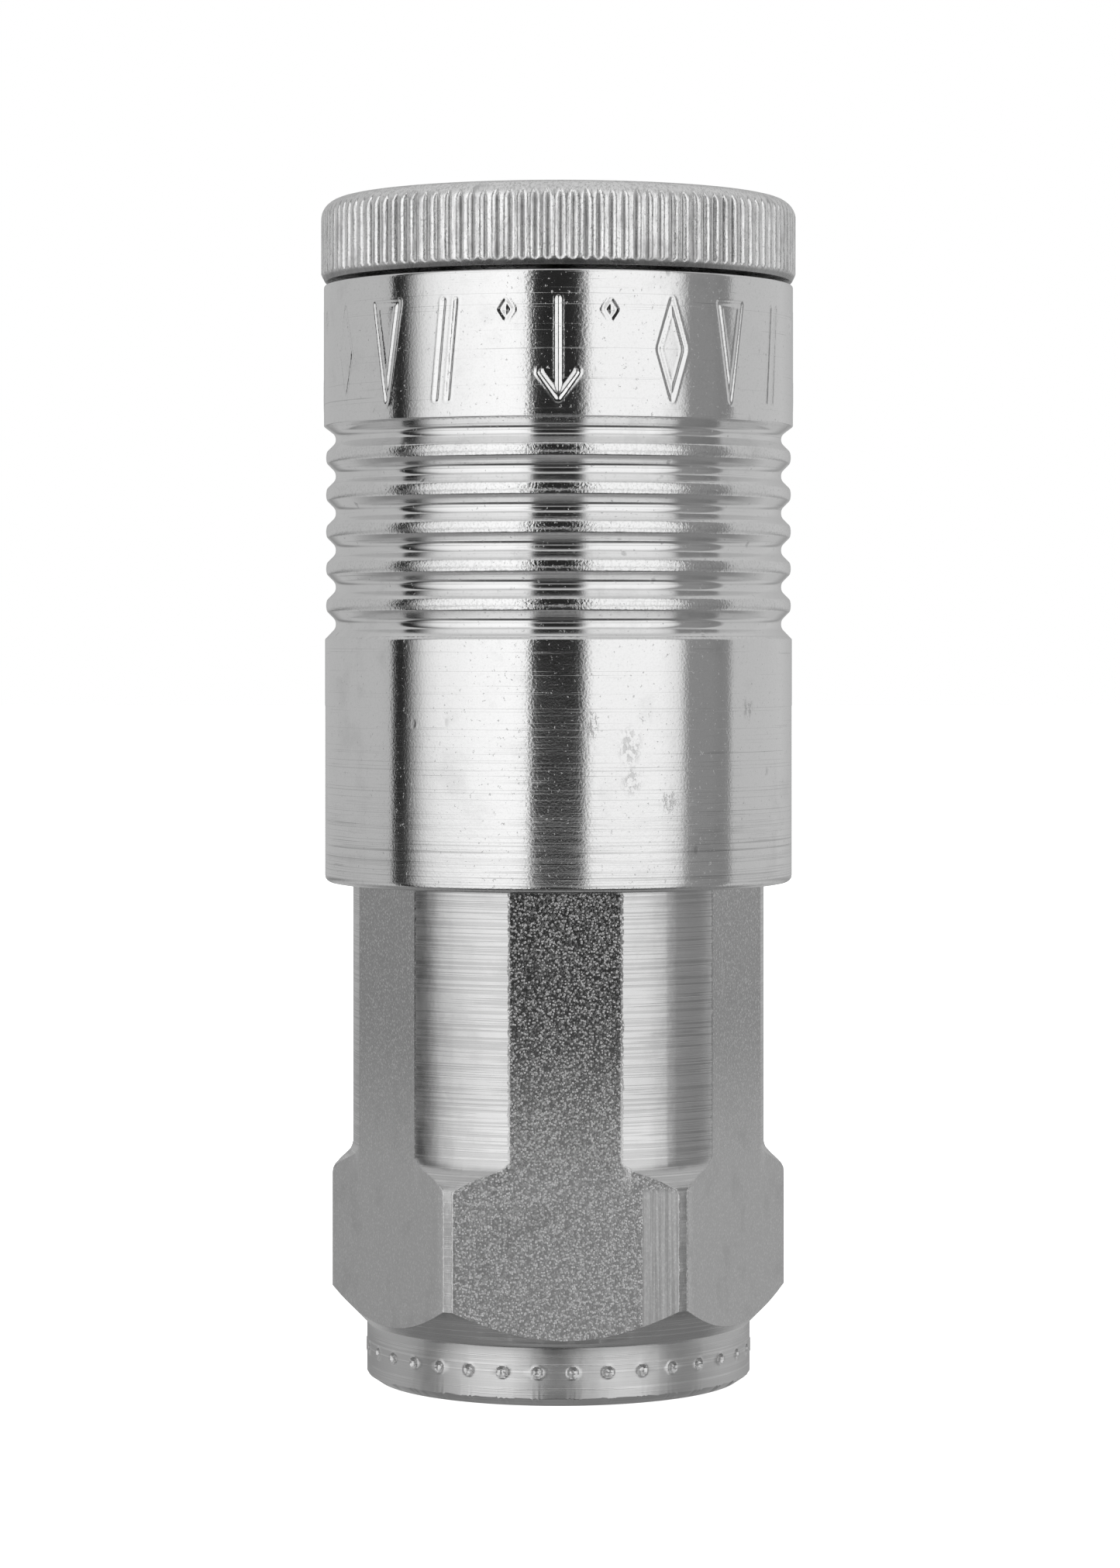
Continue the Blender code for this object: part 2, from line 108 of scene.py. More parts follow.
# Sleeve
SKIRT_R = 15.88
SLEEVE_BORE_R = 14.25
GRIP_BOTTOM = 50.15
GRIP_TOP = 64.6
GRIP_GROOVES = 6
GRIP_FIRST = 51.17
GRIP_PITCH = 2.512
GRIP_FLOOR_R = 15.15
GRIP_CREST_R = 15.83
GRIP_FLOOR_HALF = 0.26
GRIP_SHOULDER_R = 15.745
GRIP_SHOULDER_HALF = 0.86
SHOULDER_Z = 61.55
LAND_R = 12.3
LAND_TOP = 65.65
RECESS_R = 13.9
RAMP_TOP = 68.42
SCUFFS = (                       # degrees from the front, height, reach, how tall for its width
    (17.0, 43.2, 1.1, 1.6), (17.4, 41.0, 0.9, 1.5), (27.0, 39.6, 0.9, 1.2), (7.5, 44.6, 0.7, 1.6),
    (52.0, 45.6, 0.8, 1.2),
)
MARK_Z = 69.0
MARK_HALF = 3.2
MARK_MARGIN = 0.4                # how far a mark's lips reach past its strokes

# Nose ring
NOSE_BORE_R = 11.65
NOSE_CHAMFER = (0.27, 0.55)      # across, up
NOSE_EDGE = 1.35
SNAP_FLOOR = 77.6
SNAP_BORE_R = 12.6
SNAP_RING = (11.0, 12.3)         # inner and outer radius
KNURL_TEETH = 120
KNURL_DEPTH = 0.26
KNURL_START = 0.24               # above the ring's lower end

# Socket tube
TUBE_R = 12.0
NOSE_SEAT_R = 11.4
NOSE_SEAT_Z = 74.1
BORE_R = 8.6
BORE_FLOOR = 54.55
PASSAGE_R = 6.3
SEAT_Z = 49.55
SEAT_CHAMBER_R = 9.4
SEAL_GROOVE = (56.85, 60.45, 10.5)   # bottom, top, radius
SNAP_GROOVE = (77.75, 78.8, 10.8)
BODY_SEAL_GROOVE = (37.65, 39.75, 10.85)

# Balls
BALLS = 8
BALL_R = 2.38
BALL_Z = 66.05
BALL_PITCH_R = 9.68
BALL_FIRST = 22.5
BALL_HOLE_R = 2.5
BALL_LIP_R = 2.3

# Shading
LONG_WALL = 1.5                  # walls longer than this are guarded against the corners' shading
GUARD = 0.1                      # how far beyond a corner
EDGE_TURN = 0.35                 # degrees between the columns beside the bar's edges
RING_COLUMNS = 144


# ---------------------------------------------------------------- meshes

def polar(radius, angle):
    return (radius * math.cos(math.radians(angle)), radius * math.sin(math.radians(angle)))


def rounded(corners, steps=4, guards=False):
    """Closed outline through (radius, height, fillet) corners, each rounded to its fillet.

    With guards, a long wall has a point just beyond each of its rounded corners, which keeps
    the smooth shading of the corner off the wall.
    """
    points = []
    for index, (x, y, fillet) in enumerate(corners):
        here = Vector((x, y))
        if not fillet:
            points.append((x, y))
            continue
        back = Vector(corners[index - 1][:2]) - here
        ahead = Vector(corners[(index + 1) % len(corners)][:2]) - here
        guarded = [guards and wall.length > LONG_WALL for wall in (back, ahead)]
        back.normalize()
        ahead.normalize()
        half = back.angle(ahead) / 2
        reach = fillet / math.tan(half)
        centre = here + (back + ahead).normalized() * fillet / math.sin(half)
        first = here + back * reach - centre
        last = here + ahead * reach - centre
        if guarded[0]:
            points.append(tuple(here + back * (reach + GUARD)))
        start = math.atan2(first.y, first.x)
        sweep = (math.atan2(last.y, last.x) - start + math.pi) % math.tau - math.pi
        for step in range(steps + 1):
            turn = start + sweep * step / steps
            points.append((centre.x + fillet * math.cos(turn), centre.y + fillet * math.sin(turn)))
        if guarded[1]:
            points.append(tuple(here + ahead * (reach + GUARD)))
    return points


def ring(angles, radii, heights):
    """One ring of points round the axis: rows of angle, radius and height."""
    angles = np.asarray(angles, float)
    return np.column_stack([angles, np.broadcast_to(radii, angles.shape),
                            np.broadcast_to(heights, angles.shape)])


def even(count):
    return np.arange(count) * 360.0 / count


def wobble(angles, seed):
    """Smooth unevenness round the axis, mostly between -1 and 1."""
    random = np.random.default_rng(seed)
    total = np.zeros(np.shape(angles))
    for waves, phase in zip(random.integers(20, 420, 14), random.uniform(0, math.tau, 14)):
        total += np.sin(np.radians(angles) * waves + phase)
    return total / 4


def stitched(lower, upper, lower_start, upper_start):
    """Faces between two rings; where one ring has more points, its extra ones join the face."""
    size = len(lower)
    if size == len(upper):
        low = lower_start + np.arange(size)
        high = upper_start + np.arange(size)
        return np.column_stack([low, np.roll(low, -1), np.roll(high, -1), high]).tolist()
    keys = [{round(angle % 360, 4): place for place, angle in enumerate(one[:, 0])}
            for one in (lower, upper)]
    shared = sorted(set(keys[0]) & set(keys[1]))
    faces = []
    for here, after in zip(shared, shared[1:] + shared[:1]):
        sides = []
        for one, key, start in ((lower, keys[0], lower_start), (upper, keys[1], upper_start)):
            steps = (key[after] - key[here]) % len(one)
            sides.append([start + (key[here] + step) % len(one) for step in range(steps + 1)])
        faces.append(sides[0] + sides[1][::-1])
    return faces


def ringed(name, rings, closed=True):
    """Mesh through a series of rings, joined end to end where it is closed."""
    starts = np.concatenate([[0], np.cumsum([len(one) for one in rings])])
    points = np.concatenate(rings)
    turn = np.radians(points[:, 0])
    spots = np.column_stack([points[:, 1] * np.cos(turn), points[:, 1] * np.sin(turn), points[:, 2]])
    faces = []
    pairs = len(rings) if closed else len(rings) - 1
    for index in range(pairs):
        after = (index + 1) % len(rings)
        faces += stitched(rings[index], rings[after], int(starts[index]), int(starts[after]))
    mesh = bpy.data.meshes.new(name)
    mesh.from_pydata((spots * MM).tolist(), [], faces)
    return mesh


def tidied(mesh, sharp=35):
    """Faces pointing out, smooth but for the edges sharper than the given angle."""
    bm = bmesh.new()
    bm.from_mesh(mesh)
    bmesh.ops.remove_doubles(bm, verts=bm.verts, dist=1e-7)
    bmesh.ops.recalc_face_normals(bm, faces=bm.faces)
    bm.to_mesh(mesh)
    bm.free()
    mesh.shade_smooth()
    mesh.set_sharp_from_angle(angle=math.radians(sharp))
    return mesh


def turned(name, outline, columns, closed=True):
    """Mesh of an outline of (radius, height) points turned round the axis."""
    rings = [ring(even(columns), radius, height) for radius, height in outline]
    return tidied(ringed(name, rings, closed))


def put(name, mesh):
    made = bpy.data.objects.new(name, mesh)
    bpy.context.scene.collection.objects.link(made)
    return made


def cut(piece, shapes):
    """Cut a bmesh's shapes out of a piece, apply the cut and smooth what is left."""
    mesh = bpy.data.meshes.new("cutter")
    shapes.to_mesh(mesh)
    shapes.free()
    cutter = put("cutter", mesh)
    change = piece.modifiers.new("cut", "BOOLEAN")
    change.operation = "DIFFERENCE"
    change.solver = "EXACT"
    change.object = cutter
    applied(piece)
    bpy.data.objects.remove(cutter)
    tidied(piece.data)


def applied(piece):
    """Replace an object's mesh by what its modifiers make of it."""
    bpy.context.view_layer.update()
    graph = bpy.context.evaluated_depsgraph_get()
    shape = bpy.data.meshes.new_from_object(piece.evaluated_get(graph))
    piece.modifiers.clear()
    piece.data = shape
    return piece


def finish(piece, node, material=None):
    """Let a piece stand for its CAD node: same body, and its own material where one is given."""
    if material:
        piece.data.materials.clear()
        piece.data.materials.append(material)
    record = frame["record"]
    body = next(name for name, nodes in record["behaviour"]["bodies"].items() if node in nodes)
    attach(piece, body)
    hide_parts(node)
    return piece


def placed(node, mesh, material):
    """Put a finished mesh in its CAD node's place."""
    return finish(put(node + "_fine", mesh), node, material)


# ---------------------------------------------------------------- materials

class Tree:
    """A node tree, with a short way to add and join nodes.

    What feeds a node's input is another node's output, a number, a vector or a colour; a number
    that feeds a colour is a grey.
    """

    def __init__(self, tree):
        self.tree = tree

    def add(self, kind, feeds=(), **settings):
        node = self.tree.nodes.new(kind)
        for key, value in settings.items():
            setattr(node, key, value)
        for key, value in dict(feeds).items():
            self.feed(node.inputs[key], value)
        return node

    def feed(self, socket, value):
        if isinstance(value, bpy.types.NodeSocket):
            self.tree.links.new(value, socket)
        elif socket.type == "RGBA":
            color = value if isinstance(value, tuple) else (value, value, value)
            socket.default_value = (*color, 1.0)
        else:
            socket.default_value = value

    def math(self, operation, first, second=0.0):
        node = self.add("ShaderNodeMath", {0: first, 1: second}, operation=operation)
        return node.outputs["Value"]

    def plus(self, first, second):
        return self.math("ADD", first, second)

    def times(self, first, second):
        return self.math("MULTIPLY", first, second)

    def most(self, first, second):
        return self.math("MAXIMUM", first, second)

    def ramp(self, source, low, high, out_low=0.0, out_high=1.0, kind="SMOOTHSTEP"):
        feeds = {"Value": source, "From Min": low, "From Max": high}
        feeds |= {"To Min": out_low, "To Max": out_high}
        return self.add("ShaderNodeMapRange", feeds, interpolation_type=kind).outputs["Result"]

    def tones(self, share, first, second):
        """Mix of two colours: the first where the share is 0, the second where it is 1."""
        feeds = {"Factor": share, "A": first, "B": second}
        return self.add("ShaderNodeMix", feeds, data_type="RGBA").outputs["Result"]


class Surface(Tree):
    """A material whose patterns follow the piece's own coordinates.

    A pattern's size is given by how often it changes in a metre, across the axis and along it.
    """

    def __init__(self, name, **fixed):
        self.material = bpy.data.materials.new(name)
        self.material.use_nodes = True
        super().__init__(self.material.node_tree)
        self.shader = self.tree.nodes["Principled BSDF"]
        for key, value in fixed.items():
            self.shader.inputs[key.replace("_", " ").title()].default_value = value
        self.place = self.add("ShaderNodeTexCoord").outputs["Object"]

    def stretched(self, across, along):
        feeds = {"Scale": (across, across, along), "Vector": self.place}
        return self.add("ShaderNodeMapping", feeds).outputs["Vector"]

    def noise(self, across, along, detail=2.0, roughness=0.5):
        feeds = {"Scale": 1.0, "Detail": detail, "Roughness": roughness}
        feeds["Vector"] = self.stretched(across, along)
        return self.add("ShaderNodeTexNoise", feeds).outputs["Fac"]

    def cells(self, across, along):
        """Distance to the middle of the nearest uneven cell, and a random tone for each cell."""
        feeds = {"Scale": 1.0, "Vector": self.stretched(across, along)}
        texture = self.add("ShaderNodeTexVoronoi", feeds, feature="F1")
        return texture.outputs["Distance"], texture.outputs["Color"]

    def turning(self, along, start, crowd=0.0):
        """Thin lines left round the axis by the lathe: 1 in a line and 0 between lines.

        There are more lines where the start is lower or the crowd is higher.
        """
        breaks = self.noise(150, along / 4)
        score = self.plus(self.noise(5, along, roughness=0.6), self.times(breaks, 0.3))
        return self.ramp(self.plus(score, crowd), start + 0.15, start + 0.21)

    def band(self, source, low, high, soft, uneven):
        """1 between two values and 0 outside, with soft and uneven edges."""
        shift = self.times(self.math("SUBTRACT", uneven, 0.5), 2 * soft)
        source = self.plus(source, shift)
        rise = self.ramp(source, low - soft / 2, low + soft / 2)
        return self.times(rise, self.ramp(source, high - soft / 2, high + soft / 2, 1.0, 0.0))

    def vector(self, operation, first, second=(0, 0, 0)):
        node = self.add("ShaderNodeVectorMath", {0: first, 1: second}, operation=operation)
        return node.outputs["Vector" if operation == "MULTIPLY" else "Value"]

    def toward(self, direction):
        """How far a point lies from the origin along a direction."""
        return self.vector("DOT_PRODUCT", self.place, direction)

    def radius(self):
        """Distance of a point from the coupler's axis."""
        return self.vector("LENGTH", self.vector("MULTIPLY", self.place, (1, 1, 0)))

    def above(self, height, soft, amount=1.0):
        """0 below a height, rising to the amount over a soft step above it."""
        return self.ramp(self.toward((0, 0, 1)), height * MM, (height + soft) * MM, 0.0, amount)

    def below(self, height, soft, amount=1.0):
        """The amount below a height, falling to 0 over a soft step above it."""
        return self.ramp(self.toward((0, 0, 1)), height * MM, (height + soft) * MM, amount, 0.0)

    def near(self, angle, radius, height, reach, tall):
        """1 at a spot on a round wall and 0 beyond its reach, more upright the taller it is."""
        spot = Vector((*polar(radius, angle), height / tall)) * MM
        away = self.vector("DISTANCE", self.stretched(1.0, 1 / tall), spot)
        return self.ramp(away, 0.3 * reach * MM, reach * MM, 1.0, 0.0)

    def bump(self, height, distance, under=None):
        """Relief whose height of 1 is the distance in metres, on top of another relief."""
        feeds = {"Height": height, "Distance": distance}
        if under:
            feeds["Normal"] = under
        return self.add("ShaderNodeBump", feeds).outputs["Normal"]

    def worn(self, color, roughness, normal):
        """The material, with its colour, roughness and relief led in."""
        for key, value in (("Base Color", color), ("Roughness", roughness), ("Normal", normal)):
            self.feed(self.shader.inputs[key], value)
        return self.material


def grip_crests(nodes):
    """1 on the crests of the grip, 0.33 on the skirt and the band, and nearly 0 in the grooves."""
    radius = nodes.radius()
    outer = nodes.ramp(radius, (GRIP_CREST_R - 0.16) * MM, (GRIP_CREST_R - 0.08) * MM, 0.06, 1.0)
    wall = nodes.ramp(radius, (SKIRT_R - 0.035) * MM, (SKIRT_R - 0.015) * MM, 1.0, 0.33)
    return nodes.times(outer, wall)


def skirt_scuffs(nodes):
    """Torn patches at a few places on the skirt."""
    patches = 0.0
    for turn, height, reach, tall in SCUFFS:
        patches = nodes.most(patches, nodes.near(FRONT + turn, SKIRT_R, height, reach, tall))
    return nodes.times(patches, nodes.ramp(nodes.noise(3400, 2000, 4, 0.7), 0.48, 0.6))


def turned_metal(name, dark, light, roughness, lines=0.56, sleeve=False):
    """Lathe-turned metal: thin lines round the axis, stains, specks and a few dents.

    The lower lines is, the more lines there are.  On the sleeve they crowd towards its lower
    end, the skirt is scuffed, and the crests between the grip grooves are grainy.
    """
    nodes = Surface(name, metallic=1.0, anisotropic=0.65, anisotropic_rotation=0.25)
    stains = nodes.noise(260, 260, 6, 0.65)
    grain = nodes.noise(6500, 6500)
    specks = nodes.ramp(nodes.noise(4600, 3800, 3, 0.7), 0.65, 0.72)
    dents = nodes.ramp(nodes.cells(520, 300)[0], 0.05, 0.13, 1.0, 0.0)
    dents = nodes.times(dents, nodes.ramp(nodes.noise(210, 210), 0.52, 0.62))
    if sleeve:
        crowd = nodes.below(SLEEVE_BOTTOM, GRIP_BOTTOM - 3 - SLEEVE_BOTTOM, 0.1)
        dents = nodes.most(dents, skirt_scuffs(nodes))
        crests = grip_crests(nodes)
        grain_relief = (nodes.times(grain, crests), 1.3e-5)
    else:
        crowd = 0.0
        grain_relief = (nodes.ramp(grain, 0.0, 1.0), 2.6e-6)
    flaws = nodes.most(specks, dents)
    faint = nodes.times(nodes.turning(9500, lines - 0.045, crowd), 0.5)
    scored = nodes.most(nodes.turning(4200, lines, crowd), faint)
    tone = nodes.tones(nodes.ramp(stains, 0.52, 0.72, 0.0, 0.6), light, dark)
    tone = nodes.tones(nodes.times(scored, 0.46), tone, 0.34)
    tone = nodes.tones(nodes.times(flaws, 0.45), tone, 0.34)
    if sleeve:
        grainy = nodes.times(nodes.ramp(grain, 0.45, 0.7, 0.0, 0.3), crests)
        tone = nodes.tones(grainy, tone, 0.5)
    gloss = nodes.ramp(stains, 0.3, 0.75, roughness * 0.85, roughness * 1.2)
    gloss = nodes.plus(gloss, nodes.times(scored, 0.015))
    relief = nodes.bump(scored, -3.5e-6)
    relief = nodes.bump(*grain_relief, relief)
    relief = nodes.bump(flaws, -6e-6, relief)
    return nodes.worn(tone, gloss, relief)


def bar_skin(nodes, border):
    """1 on the flats of the bar, which are as rolled, and 0 where the body is turned."""
    across = 0.0
    for angle in (30, 90, 150):
        away = nodes.math("ABSOLUTE", nodes.toward((*polar(1, angle), 0)))
        across = nodes.most(across, away)
    reach = nodes.plus(across, nodes.times(border, 0.12 * MM))
    return nodes.ramp(reach, (HEX_FLATS / 2 + 0.01) * MM, (HEX_FLATS / 2 + 0.03) * MM)


def pebble_glints(nodes):
    """Bright round spots, uneven in size and in brightness: the pebbled skin's grain with painted
    glints on it.
    """
    uneven = nodes.noise(9000, 7000, roughness=0.6)
    grains_and_glints = nodes.ramp(uneven, 0.5, 0.68, 0.0, 0.35)
    for across, along in ((5000, 3900), (6900, 5200)):
        away, lot = nodes.cells(across, along)
        away = nodes.plus(away, nodes.times(uneven, 0.35))
        dots = nodes.ramp(away, 0.37, 0.6, 1.0, 0.0)
        grains_and_glints = nodes.most(grains_and_glints, nodes.times(dots, nodes.ramp(lot, 0.1, 0.9, 0.3, 1.0)))
    return grains_and_glints


def burnished_strip(nodes, border):
    """1 on a rubbed strip down the right side of the hexagon's front flat."""
    strip = nodes.band(nodes.toward((1, 0, 0)), 5.0 * MM, 7.35 * MM, 0.12 * MM, border)
    front = nodes.ramp(nodes.toward((0, -1, 0)), 13.2 * MM, 13.4 * MM)
    return nodes.times(nodes.times(strip, front), nodes.below(HEX_TOP, 0.6))


def hexagon_metal(name, dark, light):
    """Plated hexagon bar: pebbled where it is as rolled, with painted glints and painted shade on its
    flats, and turned everywhere else.
    """
    nodes = Surface(name, metallic=1.0, anisotropic=0.3, anisotropic_rotation=0.25)
    border = nodes.noise(3800, 2600, 3)
    stains = nodes.noise(300, 300, 6, 0.65)
    skin = bar_skin(nodes, border)
    turned_part = nodes.math("SUBTRACT", 1.0, skin)

    # As rolled: a pebbled skin with painted glints, strongest on the front and back flats; painted
    # shade on the side flats, and on the front and back flats up the shank
    facing = nodes.math("ABSOLUTE", nodes.toward((0, 1, 0)))
    facing = nodes.ramp(facing, 12.2 * MM, 13.2 * MM, 0.5, 1.0)
    # Painted glints: bright spots on the pebbled skin, strongest on the front and back flats.
    grains_and_glints = nodes.times(pebble_glints(nodes), facing)
    upper = nodes.above(HEX_TOP, SHADED_GROUND - HEX_TOP)
    scratches = nodes.ramp(nodes.noise(1400, 130, 4, 0.7), 0.62, 0.75, 0.0, 0.5)
    strip = burnished_strip(nodes, border)
    brushed = nodes.ramp(nodes.noise(3600, 60, 3, 0.7), 0.35, 0.65)
    # Painted shade: the side flats darker than the front and back flats.
    ground = nodes.tones(facing, 0.50, 0.64)
    # Painted shade: the front and back flats darken up the shank, towards the sleeve.
    ground = nodes.tones(nodes.times(upper, facing), ground, 0.17)
    # Painted glints: the bright spots lighter still up the shank.
    rolled = nodes.tones(grains_and_glints, ground, nodes.tones(upper, 0.86, 0.95))
    rolled = nodes.tones(scratches, rolled, 0.8)
    rolled = nodes.tones(nodes.ramp(stains, 0.52, 0.7, 0.0, 0.35), rolled, 0.42)
    burnished = nodes.tones(brushed, 0.62, 0.95)
    rolled = nodes.tones(nodes.times(strip, 0.85), rolled, burnished)
    rolled_gloss = nodes.plus(nodes.times(grains_and_glints, 0.2), nodes.times(strip, 0.16))
    rolled_gloss = nodes.plus(rolled_gloss, nodes.ramp(upper, 0.0, 1.0, 0.28, 0.16, "LINEAR"))

    # Turned: lines all over, more of them on the cone, mottled corners and a lighter, dull collar
    cone = nodes.below(SHANK_START, 1.5, 0.06)
    coarse = nodes.times(nodes.turning(2300, 0.54, cone), 0.8)
    streaks = nodes.most(nodes.turning(6200, 0.5, cone), coarse)
    collar = nodes.below(COLLAR_TOP - 0.2, 0.2)
    corners = nodes.times(nodes.above(COLLAR_TOP + 1.5, 0.7), nodes.below(HEX_TOP, 0.8))
    mottled = nodes.ramp(nodes.noise(1500, 700, 4, 0.7), 0.38, 0.62, 0.35, 0.8)
    bare = nodes.tones(nodes.times(streaks, 0.4), light, 0.36)
    bare = nodes.tones(nodes.ramp(stains, 0.5, 0.72, 0.0, 0.5), bare, dark)
    bare = nodes.tones(nodes.times(corners, mottled), bare, 0.4)
    bare = nodes.tones(nodes.times(collar, 0.2), bare, 0.85)
    bare_gloss = nodes.plus(nodes.ramp(stains, 0.3, 0.75, 0.17, 0.27), nodes.times(collar, 0.12))

    gloss = nodes.plus(nodes.times(bare_gloss, turned_part), nodes.times(rolled_gloss, skin))
    rough = nodes.times(nodes.times(skin, facing), nodes.math("SUBTRACT", 1.0, strip))
    relief = nodes.bump(nodes.times(grains_and_glints, rough), 9e-6)
    relief = nodes.bump(nodes.times(streaks, turned_part), -5e-6, relief)
    relief = nodes.bump(nodes.noise(1300, 900), 8e-6, relief)
    return nodes.worn(nodes.tones(skin, bare, rolled), gloss, relief)


def knurled_metal(name, dark, light):
    """Rolled knurl: a torn plated skin with streaks along the teeth, painted shade in each valley
    between the teeth, and painted shade on the lower chamfer.
    """
    nodes = Surface(name, metallic=1.0)
    streaks = nodes.noise(6500, 420, 4, 0.65)
    grain = nodes.noise(7500, 5500, 3, 0.65)
    stains = nodes.noise(700, 520, 5, 0.65)
    start = NOSE_BOTTOM + KNURL_START
    teeth = nodes.times(nodes.above(start, 0.1), nodes.below(NOSE_TOP - NOSE_EDGE, 0.5))
    # Painted shade: darker in each valley between the teeth, the deeper the darker.
    valley_shade = nodes.ramp(nodes.radius(), (NOSE_R - 0.22) * MM, (NOSE_R - 0.06) * MM, 0.6, 0.0)
    tone = nodes.tones(nodes.ramp(streaks, 0.46, 0.62), light, dark)
    tone = nodes.tones(nodes.ramp(grain, 0.56, 0.66, 0.0, 0.55), tone, 0.42)
    tone = nodes.tones(nodes.ramp(stains, 0.55, 0.7, 0.0, 0.5), tone, 0.45)
    tone = nodes.tones(nodes.times(valley_shade, teeth), tone, 0.4)
    # Painted shade: darker down the lower chamfer below the teeth.
    tone = nodes.tones(nodes.below(start - 0.04, 0.24, 0.75), tone, 0.26)
    relief = nodes.bump(streaks, 1.6e-5)
    relief = nodes.bump(grain, 1.5e-5, relief)
    return nodes.worn(tone, nodes.ramp(stains, 0.3, 0.7, 0.2, 0.34), relief)


def smooth_metal(name, dark, light, roughness, grain_height=1.5e-6):
    """Drawn, punched or polished metal without turning lines."""
    nodes = Surface(name, metallic=1.0)
    marks = nodes.noise(700, 700, 5, 0.6)
    tone = nodes.tones(nodes.ramp(marks, 0.35, 0.7), light, dark)
    gloss = nodes.ramp(marks, 0.3, 0.7, roughness * 0.8, roughness * 1.3)
    return nodes.worn(tone, gloss, nodes.bump(nodes.noise(6000, 6000), grain_height))


def moulded(name, dark, light, roughness):
    """Rubber or plastic with a fine skin."""
    nodes = Surface(name)
    dust = nodes.noise(900, 900, 4)
    tone = nodes.tones(nodes.ramp(dust, 0.4, 0.75), dark, light)
    gloss = nodes.ramp(dust, 0.3, 0.7, roughness * 0.9, roughness * 1.1)
    return nodes.worn(tone, gloss, nodes.bump(nodes.noise(7000, 7000), 2e-6))


SLEEVE_METAL = turned_metal("sleeve_zinc", 0.70, 0.82, roughness=0.11, lines=0.67, sleeve=True)
BODY_METAL = hexagon_metal("body_zinc", 0.60, 0.75)
NOSE_METAL = knurled_metal("nose_ring_zinc", 0.70, 0.92)
TUBE_METAL = turned_metal("tube_zinc", 0.60, 0.76, roughness=0.2)
SPRING_METAL = smooth_metal("spring_steel", 0.30, 0.44, roughness=0.32)
BALL_METAL = smooth_metal("ball_steel", 0.68, 0.76, roughness=0.07, grain_height=3e-7)
BRASS = turned_metal("valve_brass", (0.60, 0.42, 0.17), (0.78, 0.58, 0.27), roughness=0.22)
RUBBER = moulded("seal_rubber", 0.012, 0.03, roughness=0.5)
PLASTIC = moulded("backup_plastic", (0.74, 0.73, 0.69), (0.86, 0.85, 0.81), roughness=0.45)


# ---------------------------------------------------------------- hexagon body

def bar_radius(angles):
    """Distance from the axis to the hexagon bar, whose corners are turned down."""
    off = np.asarray(angles) % 60 - 30
    return np.minimum(HEX_FLATS / 2 / np.cos(np.radians(off)), HEX_CORNER_R)


def upper_cone():
    """Radius and height along the hexagon's rounded upper corners, down onto the shank."""
    centre = HEX_CORNER_R - HEX_TOP_ROUND
    path = []
    for step in range(7):
        turn = math.radians(45 * step / 6)
        path.append((centre + HEX_TOP_ROUND * math.cos(turn), HEX_TOP + HEX_TOP_ROUND * math.sin(turn)))
    foot = (SHANK_R + 0.22, SHANK_START - 0.62)
    path += [foot, (SHANK_R + 0.1, SHANK_START - 0.36), (SHANK_R + 0.02, SHANK_START - 0.12)]
    path.append((SHANK_R, SHANK_START))
    return np.array(path)


def body_angles():
    """Angles of the body's columns, with one on every edge of the bar's flats."""
    edges = [math.degrees(math.acos(HEX_FLATS / 2 / radius)) for radius in (SHANK_R, HEX_CORNER_R)]
    offsets = [-30]
    for off in np.arange(-25, 26, 2.5):
        if min(abs(abs(off) - edge) for edge in edges) > 1:
            offsets.append(off)
    for edge in edges:
        for turn in (edge - EDGE_TURN, edge, edge + EDGE_TURN):
            offsets += [-turn, turn]
    return np.array(sorted(60 * side + 30 + off for side in range(6) for off in offsets))


def dimple_angles(angles):
    """The body's columns with extra ones across every dimple."""
    width = math.degrees(DIMPLE_R / COLLAR_R)
    extra = []
    for number in range(DIMPLES):
        middle = FIRST_DIMPLE + 360 * number / DIMPLES
        extra += [(middle + width * share) % 360 for share in np.linspace(-1.4, 1.4, 11)]
    return np.array(sorted({*np.round(angles % 360, 5), *np.round(extra, 5)}))


def dimpled(angles, height):
    """Radius of the collar at a height, with its row of punched dimples."""
    pitch = 360 / DIMPLES
    off = (angles - FIRST_DIMPLE + pitch / 2) % pitch - pitch / 2
    away = np.hypot(np.radians(off) * COLLAR_R, height - DIMPLE_Z) / DIMPLE_R
    pit = -DIMPLE_DEPTH * np.clip(1 - away**2, 0, 1) ** 0.6
    lip = 0.045 * np.exp(-(((away - 1.16) / 0.17) ** 2))
    return COLLAR_R + pit * (0.8 + 0.2 * wobble(angles + 9 * height, 5)) + lip


def port_rings(angles):
    """Rings of the tapered pipe thread, from its floor down to the mouth's chamfer."""
    rings = []
    per_turn = 12
    steps = int(PORT_DEPTH / PIPE_PITCH * per_turn)
    for step in range(steps, -1, -1):
        height = PORT_DEPTH * step / steps
        phase = (height / PIPE_PITCH - angles / 360) % 1
        tooth = np.clip(4 * np.abs(phase - 0.5) - 1, -0.78, 0.78) * PIPE_THREAD_HALF
        ending = min(1.0, (PORT_DEPTH - height) / PIPE_PITCH)
        radius = PORT_R - height * PORT_TAPER + tooth * ending
        rings.append(ring(angles, np.maximum(radius, PORT_MOUTH_R - height), height))
    return rings


